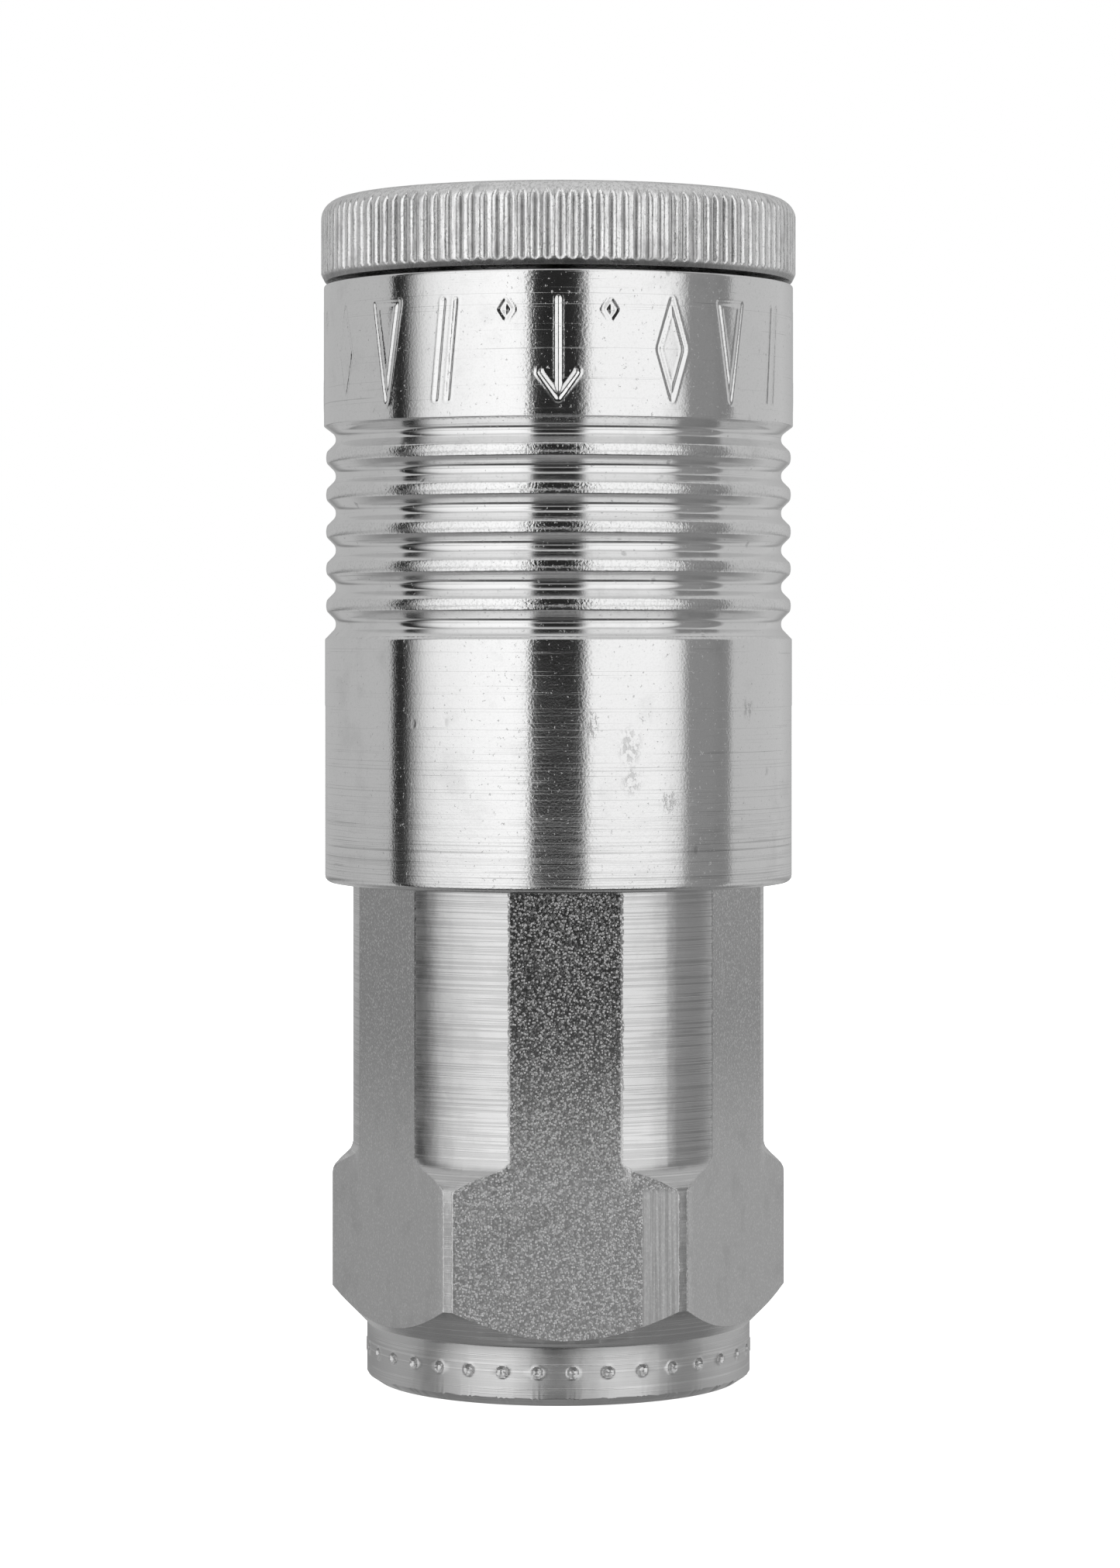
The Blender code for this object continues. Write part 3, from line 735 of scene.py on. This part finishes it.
def hex_body():
    angles = body_angles() % 360
    angles.sort()
    bar = bar_radius(angles)
    rings = port_rings(angles)
    fine = dimple_angles(angles)
    across, up = COLLAR_CHAMFER
    corners = [
        (PORT_MOUTH_R, 0, 0), (COLLAR_R - across, 0, 0.12), (COLLAR_R, up, 0.12), (COLLAR_R, 1.2, 0),
    ]
    for radius, height in rounded(corners, 3)[1:-1]:
        uneven = 0.04 * wobble(fine, 11) if height > up / 2 else 0
        rings.append(ring(fine, radius, height + uneven))
    for share in np.linspace(-1.6, 1.6, 15):
        height = DIMPLE_Z + DIMPLE_R * share
        rings.append(ring(fine, dimpled(fine, height), height))
    rings.append(ring(angles, COLLAR_R, COLLAR_TOP - 0.05))
    rings.append(ring(angles, COLLAR_R + 0.04, COLLAR_TOP + 0.04))
    for share in (0.5, 1.0):
        radius = COLLAR_R + share * (bar - COLLAR_R)
        rings.append(ring(angles, radius, COLLAR_TOP + radius - COLLAR_R))
    cone = upper_cone()
    flat_bottom = COLLAR_TOP + bar - COLLAR_R
    flat_top = np.interp(-bar, -cone[:, 0], cone[:, 1])
    flat_top = np.minimum(flat_top, SHANK_START - 0.25)
    for share in (0.2, 0.4, 0.6, 0.8, 1.0):
        rings.append(ring(angles, bar, flat_bottom + share * (flat_top - flat_bottom)))
    for share in (0.12, 0.25, 0.4, 0.55, 0.7, 0.85, 1.0):
        height = flat_top + share * (SHANK_START - flat_top)
        rings.append(ring(angles, np.minimum(bar, np.interp(height, cone[:, 1], cone[:, 0])), height))
    for height in (*range(20, 41, 4), BODY_TOP - 0.4):
        rings.append(ring(angles, np.minimum(bar, SHANK_R), height))
    inside = [
        (SHANK_R - 0.6, BODY_TOP, 0), (THREAD_BORE_R, BODY_TOP, 0.1),
        (THREAD_BORE_R, THREAD_BORE_FLOOR, 0.2), (CHAMBER_R, THREAD_BORE_FLOOR, 0.2),
        (CHAMBER_R, CHAMBER_FLOOR, 0.3), (LEDGE_R, CHAMBER_FLOOR, 0.2), (LEDGE_R, PORT_DEPTH, 0.2),
    ]
    for radius, height in rounded(inside, 2):
        rings.append(ring(angles, radius, height))
    mesh = tidied(ringed("hex_body", rings), 30)
    made = put("hex_body_fine", mesh)
    bevel = made.modifiers.new("edges", "BEVEL")
    bevel.width = 0.05 * MM
    bevel.segments = 2
    bevel.limit_method = "ANGLE"
    bevel.angle_limit = math.radians(28)
    finish(applied(made), "hex_body", BODY_METAL)


# ---------------------------------------------------------------- sleeve

def mark_strokes():
    """Strokes of the rolled marks, as lines between (degrees from the front, height) points."""
    strokes = []

    def line(*points):
        strokes.extend(zip(points, points[1:]))

    def arrow(at):
        low = MARK_Z - MARK_HALF
        line((at, MARK_Z + MARK_HALF), (at, low))
        line((at - 4.2, low + 1.6), (at, low), (at + 4.2, low + 1.6))

    def diamond(at, wide=3.6, tall=MARK_HALF, height=MARK_Z):
        line((at - wide, height), (at, height + tall), (at + wide, height), (at, height - tall),
             (at - wide, height))

    def triangle(at):
        high = MARK_Z + MARK_HALF
        line((at - 4.0, high), (at + 4.0, high), (at, MARK_Z - MARK_HALF), (at - 4.0, high))

    def slashes(at):
        for shift in (-2.6, 0.6):
            line((at + shift, MARK_Z - MARK_HALF), (at + shift + 2.2, MARK_Z + MARK_HALF))

    for turn in range(4):
        front = 90 * turn
        arrow(front)
        for side in (-1, 1):
            diamond(front + 12.4 * side, 1.3, 0.55, MARK_Z + MARK_HALF - 0.7)
        slashes(front - 27.5)
        diamond(front + 27.5)
        triangle(front + 45)
    return strokes


def mark_levels():
    """Heights of the band's rings, closer together where the marks have level strokes."""
    low = MARK_Z - MARK_HALF - MARK_MARGIN
    high = MARK_Z + MARK_HALF + MARK_MARGIN
    return np.concatenate([
        np.linspace(low, low + 2.1, 21, endpoint=False),
        np.linspace(low + 2.1, high - 1.8, 17, endpoint=False),
        np.linspace(high - 1.8, high, 19),
    ])


def marked(angles, height, strokes):
    """Change of the band's radius by the rolled marks: a shallow groove with raised lips."""
    away = np.full(angles.shape, 9.0)
    for (from_turn, from_z), (to_turn, to_z) in strokes:
        along = np.radians(to_turn - from_turn) * BAND_R
        rise = to_z - from_z
        x = np.radians((angles - FRONT - from_turn + 180) % 360 - 180) * BAND_R
        y = height - from_z
        share = np.clip((x * along + y * rise) / (along**2 + rise**2), 0, 1)
        away = np.minimum(away, np.hypot(x - share * along, y - share * rise))
    groove = -0.06 * np.exp(-((away / 0.12) ** 2))
    lip = 0.022 * np.exp(-(((away - 0.24) / 0.08) ** 2))
    return groove + lip


def locking_sleeve():
    grip = []
    for groove in range(GRIP_GROOVES):
        middle = GRIP_FIRST + GRIP_PITCH * groove
        if groove > 0:
            grip.append((GRIP_CREST_R, middle - GRIP_PITCH / 2, 1.2))
            grip.append((GRIP_SHOULDER_R, middle - GRIP_SHOULDER_HALF, 0.3))
        grip.append((GRIP_FLOOR_R, middle - GRIP_FLOOR_HALF, 0.55))
        grip.append((GRIP_FLOOR_R, middle + GRIP_FLOOR_HALF, 0.55))
        if groove < GRIP_GROOVES - 1:
            grip.append((GRIP_SHOULDER_R, middle + GRIP_SHOULDER_HALF, 0.3))
    corners = [
        (SLEEVE_BORE_R, SHOULDER_Z, 0.2), (SLEEVE_BORE_R, SLEEVE_BOTTOM, 0.25),
        (SKIRT_R, SLEEVE_BOTTOM, 0.45), (SKIRT_R, GRIP_BOTTOM, 0.12), *grip,
        (BAND_R, GRIP_TOP, 0.1), (BAND_R, SLEEVE_TOP, 0.18), (RECESS_R, SLEEVE_TOP, 0.15),
        (RECESS_R, RAMP_TOP, 0.5), (LAND_R, LAND_TOP, 0.3), (LAND_R, SHOULDER_Z, 0.15),
    ]
    strokes = mark_strokes()
    coarse = even(144)
    fine = even(1152)
    rings = []
    for radius, height in rounded(corners, 4, guards=True):
        starts_band = radius > BAND_R - 1e-3 and GRIP_TOP + GUARD < height < GRIP_TOP + 1
        rings.append(ring(coarse, radius, height))
        if starts_band:
            for level in mark_levels():
                rings.append(ring(fine, BAND_R + marked(fine, level, strokes), level))
    placed("locking_sleeve", tidied(ringed("locking_sleeve", rings), 40), SLEEVE_METAL)


# ---------------------------------------------------------------- nose ring

def knurled(angles):
    """Depth of the straight knurl, a little different from tooth to tooth."""
    tooth = angles * KNURL_TEETH / 360
    number = np.floor(tooth + 1e-6).astype(int) % KNURL_TEETH
    random = np.random.default_rng(7)
    depth = random.uniform(0.8, 1.0, KNURL_TEETH)[number]
    crown = random.uniform(0.0, 0.1, KNURL_TEETH)[number]
    share = np.abs(2 * (tooth - number) - 1)
    return KNURL_DEPTH * np.maximum(depth * (1 - share) ** 2.3, crown)


def nose_ring():
    across, up = NOSE_CHAMFER
    chamfer = [(NOSE_R - across * (1 - share), NOSE_BOTTOM + up * share, 0)
               for share in (0.4, 0.5, 0.6, 0.7)]
    corners = [
        (NOSE_BORE_R, SNAP_FLOOR, 0.1), (NOSE_BORE_R, NOSE_BOTTOM, 0.15),
        (NOSE_R - across, NOSE_BOTTOM, 0.08), *chamfer, (NOSE_R, NOSE_BOTTOM + up, 0.1),
        (NOSE_R, NOSE_TOP, NOSE_EDGE), (SNAP_BORE_R, NOSE_TOP, 0.3), (SNAP_BORE_R, SNAP_FLOOR, 0.15),
    ]
    coarse = even(KNURL_TEETH)
    fine = even(KNURL_TEETH * 12)
    depth = knurled(fine)
    rings = []
    for radius, height in rounded(corners, 10):
        if radius < NOSE_R - 0.45 or height < NOSE_BOTTOM + 0.2:
            rings.append(ring(coarse, radius, height))
            continue
        levels = [height]
        if abs(height - NOSE_TOP + NOSE_EDGE) < 1e-6:
            start = NOSE_BOTTOM + up
            levels = [start + 0.06, start + 0.13, *np.linspace(start + 0.22, height, 11)]
        for level in levels:
            fade = np.clip((level - NOSE_BOTTOM - KNURL_START) / 0.18, 0, 1)
            uneven = 0.012 * wobble(fine * 0.4 + 3 * level, 3)
            toothed = NOSE_R - (depth + np.abs(uneven)) * fade
            rings.append(ring(fine, np.minimum(radius, toothed), level))
    placed("nose_ring", tidied(ringed("nose_ring", rings), 60), NOSE_METAL)


# ---------------------------------------------------------------- socket tube, balls, rings

def ball_angles():
    return [BALL_FIRST + 360 * number / BALLS for number in range(BALLS)]


def socket_tube():
    seal_low, seal_high, seal_r = SEAL_GROOVE
    snap_low, snap_high, snap_r = SNAP_GROOVE
    body_low, body_high, body_r = BODY_SEAL_GROOVE
    corners = [
        (SEAT_CHAMBER_R, TUBE_BOTTOM, 0.1), (TUBE_THREAD_R, TUBE_BOTTOM, 0.2),
        (TUBE_THREAD_R, body_low, 0.05), (body_r, body_low, 0.1), (body_r, body_high, 0.1),
        (TUBE_THREAD_R, body_high, 0.05), (TUBE_THREAD_R, BODY_TOP - 0.3, 0.05),
        (TUBE_R, BODY_TOP + 0.3, 0.05), (TUBE_R, NOSE_SEAT_Z, 0.1), (NOSE_SEAT_R, NOSE_SEAT_Z, 0.1),
        (NOSE_SEAT_R, snap_low, 0.05), (snap_r, snap_low, 0.08), (snap_r, snap_high, 0.08),
        (NOSE_SEAT_R, snap_high, 0.05), (NOSE_SEAT_R, TUBE_TOP, 0.25), (BORE_R + 1.1, TUBE_TOP, 0.15),
        (BORE_R, TUBE_TOP - 1.1, 0.3), (BORE_R, seal_high, 0.08), (seal_r, seal_high, 0.15),
        (seal_r, seal_low, 0.15), (BORE_R, seal_low, 0.08), (BORE_R, BORE_FLOOR, 0.2),
        (PASSAGE_R, BORE_FLOOR, 0.2), (PASSAGE_R, SEAT_Z, 0.2), (SEAT_CHAMBER_R, SEAT_Z, 0.3),
    ]
    made = put("socket_tube_fine", turned("socket_tube", rounded(corners, 3, guards=True), 144))
    lip_end = BALL_PITCH_R - 0.8
    drill = [
        (0, BORE_R - 1.6), (BALL_LIP_R, BORE_R - 1.6), (BALL_LIP_R, lip_end),
        (BALL_HOLE_R, lip_end + 0.5), (BALL_HOLE_R, TUBE_R + 1), (0, TUBE_R + 1),
    ]
    tool = turned("ball_drill", drill, 40, closed=False)
    bm = bmesh.new()
    for angle in ball_angles():
        before = len(bm.verts)
        bm.from_mesh(tool)
        bm.verts.ensure_lookup_table()
        turn = Matrix.Rotation(math.radians(angle), 4, "Z") @ Matrix.Rotation(math.pi / 2, 4, "Y")
        lift = Matrix.Translation((0, 0, BALL_Z * MM))
        bmesh.ops.transform(bm, matrix=lift @ turn, verts=bm.verts[before:])
    cut(made, bm)
    finish(made, "socket_tube", TUBE_METAL)


def locking_balls():
    bm = bmesh.new()
    bmesh.ops.create_uvsphere(bm, u_segments=40, v_segments=24, radius=BALL_R * MM)
    mesh = bpy.data.meshes.new("locking_ball")
    bm.to_mesh(mesh)
    bm.free()
    mesh.shade_smooth()
    mesh.materials.append(BALL_METAL)
    for number, angle in enumerate(ball_angles(), start=1):
        ball = put(f"locking_ball_{number}_fine", mesh)
        ball.location = Vector((*polar(BALL_PITCH_R, angle), BALL_Z)) * MM
        ball.rotation_euler = (angle, 0.5 * angle, 0)
        bpy.context.view_layer.update()
        finish(ball, f"locking_ball_{number}")


def o_ring(node, radius, section, material):
    """Round ring at mid height of its CAD node; the section is the radius of the cord."""
    _, low, high = span(node)
    circle = []
    for step in range(20):
        x, y = polar(section, 18 * step)
        circle.append((radius + x, (low + high) / 2 + y))
    placed(node, turned(node, circle, RING_COLUMNS), material)


def flat_ring(node, inner, outer, edge, material):
    """Flat ring as tall as its CAD node, between two radii, with its edges rounded."""
    _, low, high = span(node)
    corners = [(inner, low, edge), (outer, low, edge), (outer, high, edge), (inner, high, edge)]
    placed(node, turned(node, rounded(corners, guards=True), RING_COLUMNS), material)


def snap_ring():
    """Open ring of flat wire with its ends cut square, facing the back of the coupler."""
    _, low, high = span("nose_snap_ring")
    inner, outer = SNAP_RING
    half_gap = 12.0
    edge = 0.12
    section = [(inner, low, edge), (outer, low, edge), (outer, high, edge), (inner, high, edge)]
    section = rounded(section, 3)
    steps = 140
    verts = []
    faces = []
    size = len(section)
    for step in range(steps + 1):
        angle = 90 + half_gap + (360 - 2 * half_gap) * step / steps
        for radius, height in section:
            verts.append(Vector((*polar(radius, angle), height)) * MM)
    for step in range(steps):
        for index in range(size):
            after = (index + 1) % size
            faces.append((step * size + index, step * size + after,
                          (step + 1) * size + after, (step + 1) * size + index))
    faces.append(tuple(range(size)))
    faces.append(tuple(steps * size + index for index in range(size)))
    mesh = bpy.data.meshes.new("nose_snap_ring")
    mesh.from_pydata(verts, [], faces)
    placed("nose_snap_ring", tidied(mesh), SPRING_METAL)


def seals_and_washers():
    o_ring("body_o_ring", 11.6, 0.6, RUBBER)
    o_ring("plug_seal", 9.2, 1.05, RUBBER)
    flat_ring("plug_seal_backup_ring", 8.75, 10.35, 0.1, PLASTIC)
    flat_ring("sleeve_spring_washer", 12.25, 13.95, 0.1, SPRING_METAL)
    flat_ring("valve_seal", 6.0, 7.9, 0.2, RUBBER)


# ---------------------------------------------------------------- springs and valve

def coil(node, radius, wire, turns):
    """Compression spring with closed ends, as tall as its CAD node.

    The radius is that of the coil, and wire is the wire's own radius.
    """
    _, bottom, top = span(node)
    low = bottom + wire
    closed = 2 * wire * 1.04
    open_pitch = (top - wire - low - 2 * closed) / (turns - 2)
    per_turn = 48
    curve = bpy.data.curves.new(node, "CURVE")
    curve.dimensions = "3D"
    curve.bevel_depth = wire * MM
    curve.bevel_resolution = 4
    curve.use_fill_caps = True
    spline = curve.splines.new("POLY")
    spline.points.add(turns * per_turn)
    for step, point in enumerate(spline.points):
        turn = step / per_turn
        rise = closed * (min(turn, 1) + max(turn - turns + 1, 0))
        rise += open_pitch * min(max(turn - 1, 0), turns - 2)
        x, y = polar(radius, 360 * turn)
        point.co = (x * MM, y * MM, (low + rise) * MM, 1)
    guide = put(node + "_wire", curve)
    mesh = bpy.data.meshes.new_from_object(guide)
    bpy.data.objects.remove(guide)
    mesh.shade_smooth()
    made = placed(node, mesh, SPRING_METAL)
    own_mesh(made)


def valve_poppet():
    """Stem, flange and hollow head, with four slots through the head's rim."""
    stem_r = 1.6
    neck_r = 5.2
    head_r = 5.8
    hollow_r = 4.3
    hollow_floor = 49.75
    flange_low = 46.75
    flange_high = 48.15
    corners = [
        (0, STEM_BOTTOM, 0), (stem_r, STEM_BOTTOM, 0.4), (stem_r, 44.35, 0.3), (neck_r, 45.35, 0.2),
        (neck_r, flange_low, 0.15), (FLANGE_R, flange_low, 0.15), (FLANGE_R, flange_high, 0.15),
        (head_r, flange_high, 0.15), (head_r, VALVE_TOP, 0.35), (hollow_r, VALVE_TOP, 0.2),
        (hollow_r, hollow_floor, 0.3), (0, hollow_floor, 0),
    ]
    made = put("valve_poppet_fine", turned("valve_poppet", rounded(corners), 96, closed=False))
    size = Matrix.Diagonal((3.8 * MM, 3.4 * MM, 4.0 * MM, 1))
    shift = Matrix.Translation((5.1 * MM, 0, 52.15 * MM))
    bm = bmesh.new()
    for slot in range(4):
        turn = Matrix.Rotation(math.radians(90 * slot), 4, "Z")
        bmesh.ops.create_cube(bm, size=1, matrix=turn @ shift @ size)
    cut(made, bm)
    finish(made, "valve_poppet", BRASS)


def valve_guide():
    """Three-armed spider: a disc with a hole for the valve's stem and three windows."""
    _, low, high = span("valve_guide")
    hole_r = 1.95
    rim_r = 9.9
    hub_r = 3.4
    window_r = 8.7
    corners = [(hole_r, low, 0.15), (rim_r, low, 0.2), (rim_r, high, 0.2), (hole_r, high, 0.15)]
    made = put("valve_guide_fine", turned("valve_guide", rounded(corners, 3), 120))
    bm = bmesh.new()
    for window in range(3):
        start = 120 * window + 15
        outline = [polar(window_r, start + 90 * step / 16) for step in range(17)]
        outline += [polar(hub_r, start + 90 - 90 * step / 16) for step in range(17)]
        face = bm.faces.new([bm.verts.new((x * MM, y * MM, (low - 1) * MM)) for x, y in outline])
        grown = bmesh.ops.extrude_face_region(bm, geom=[face])["geom"]
        moved = [item for item in grown if isinstance(item, bmesh.types.BMVert)]
        bmesh.ops.translate(bm, verts=moved, vec=(0, 0, (high - low + 2) * MM))
    bmesh.ops.recalc_face_normals(bm, faces=bm.faces)
    cut(made, bm)
    finish(made, "valve_guide", BRASS)


# ---------------------------------------------------------------- studio

def studio_world():
    """Soft studio surroundings: two large soft panels, a dark gap for the camera, grey walls.

    Brightness is listed by angle to the right of the camera's direction, at eye level and
    lower down.  The camera itself sees a plain white backdrop.
    """
    level = [
        (-180, 0.4), (-160, 0.5), (-100, 0.54), (-89.3, 0.52), (-87.9, 0.02), (-81.5, 0.02),
        (-79, 0.08), (-73.7, 0.46), (-68, 0.82), (-60, 1.0), (-40, 1.14), (-22, 1.18), (-15, 1.1),
        (-12.8, 0.06), (-9, 0.02), (8, 0.02), (10.6, 0.06), (12.3, 0.3), (15.2, 1.0), (18, 1.08),
        (50, 1.08), (57, 0.95), (60.5, 0.85), (63, 0.66), (65.5, 0.28), (80, 0.28), (86, 0.25),
        (91.8, 0.27), (94, 0.57), (140, 0.6), (180, 0.4),
    ]
    low = [
        (-180, 0.34), (-150, 0.24), (-136, 0.26), (-118, 0.42), (-92, 0.45), (-87.5, 0.16),
        (-80, 0.12), (-75, 0.22), (-68, 0.48), (-35, 0.86), (-20, 0.86), (-13, 0.78), (-9.5, 0.46),
        (11, 0.46), (14, 0.74), (40, 0.76), (57, 0.66), (66, 0.28), (80, 0.22), (91, 0.21), (95, 0.48),
        (124, 0.5), (140, 0.36), (180, 0.34),
    ]
    strength = 2.0               # brings the listed tones within the 0 to 1 that a colour ramp holds
    world = bpy.data.worlds.new("studio")
    bpy.context.scene.world = world
    world.use_nodes = True
    world.node_tree.nodes.clear()
    nodes = Tree(world.node_tree)

    def lit(value):
        return value / strength

    def round_the_studio(stops):
        node = nodes.add("ShaderNodeValToRGB", {"Fac": place})
        elements = node.color_ramp.elements
        while len(elements) < len(stops):
            elements.new(0.5)
        for element, (angle, value) in zip(elements, stops):
            element.position = angle / 360 + 0.5
            element.color = (lit(value), lit(value), lit(value), 1)
        return node.outputs["Color"]

    def blended(along, start, end, first, second):
        return nodes.tones(nodes.ramp(along, start, end, kind="LINEAR"), first, second)

    direction = nodes.add("ShaderNodeTexCoord").outputs["Generated"]
    feeds = {"Rotation": (0, 0, -math.radians(VIEW_AZIMUTH)), "Vector": direction}
    turned_back = nodes.add("ShaderNodeMapping", feeds, vector_type="POINT").outputs["Vector"]
    axes = nodes.add("ShaderNodeSeparateXYZ", {"Vector": turned_back})
    forward = nodes.times(axes.outputs["Y"], -1.0)
    angle = nodes.math("ARCTAN2", axes.outputs["X"], forward)
    place = nodes.plus(nodes.times(angle, 1 / math.tau), 0.5)
    height = axes.outputs["Z"]
    eye_level = round_the_studio(level)
    light = blended(height, -0.052, -0.13, eye_level, round_the_studio(low))
    light = blended(height, -0.16, -0.28, light, eye_level)
    under = blended(forward, 0.05, 0.5, lit(0.25), lit(0.07))
    light = blended(height, -0.42, -0.66, light, under)
    light = blended(height, -0.84, -0.98, light, lit(0.32))
    light = blended(height, 0.5, 0.85, light, lit(0.62))
    studio = nodes.add("ShaderNodeBackground", {"Color": light, "Strength": strength})
    backdrop = nodes.add("ShaderNodeBackground", {"Color": 1.0})
    seen = nodes.add("ShaderNodeLightPath").outputs["Is Camera Ray"]
    feeds = {"Fac": seen, 1: studio.outputs["Background"], 2: backdrop.outputs["Background"]}
    chosen = nodes.add("ShaderNodeMixShader", feeds).outputs["Shader"]
    nodes.add("ShaderNodeOutputWorld", {"Surface": chosen})


def floor():
    """Pale floor lit to the white of the backdrop, which the metal doesn't mirror."""
    bm = bmesh.new()
    bmesh.ops.create_circle(bm, cap_ends=True, segments=96, radius=3.0)
    mesh = bpy.data.meshes.new("floor")
    bm.to_mesh(mesh)
    bm.free()
    made = put("floor", mesh)
    made.location.z = -0.0002
    material = bpy.data.materials.new("floor_white")
    material.use_nodes = True
    shader = material.node_tree.nodes["Principled BSDF"]
    shader.inputs["Base Color"].default_value = (0.9, 0.9, 0.9, 1)
    shader.inputs["Roughness"].default_value = 0.9
    shader.inputs["Emission Color"].default_value = (1, 1, 1, 1)
    shader.inputs["Emission Strength"].default_value = 1.0
    mesh.materials.append(material)
    made.visible_glossy = False
    made.visible_diffuse = False


def camera():
    """Level camera at the height of the grip grooves' lower end, with the view shifted down."""
    eye_height = 50.35
    distance = 308.0
    data = bpy.data.cameras.new("camera")
    data.sensor_width = 36
    data.lens = 103.81
    data.shift_x = 0.0010
    data.shift_y = -0.0942
    made = put("camera", data)
    made.location = Vector((*polar(distance, FRONT), eye_height)) * MM
    made.rotation_euler = (math.pi / 2, 0, math.radians(VIEW_AZIMUTH))
    bpy.context.scene.camera = made
    bpy.context.scene.view_settings.view_transform = "Standard"


studio_world()
floor()
camera()
hex_body()
locking_sleeve()
nose_ring()
snap_ring()
socket_tube()
locking_balls()
seals_and_washers()
coil("sleeve_spring", radius=13.05, wire=0.8, turns=6)
coil("valve_spring", radius=6.3, wire=0.55, turns=8)
valve_poppet()
valve_guide()

bpy.context.view_layer.update()
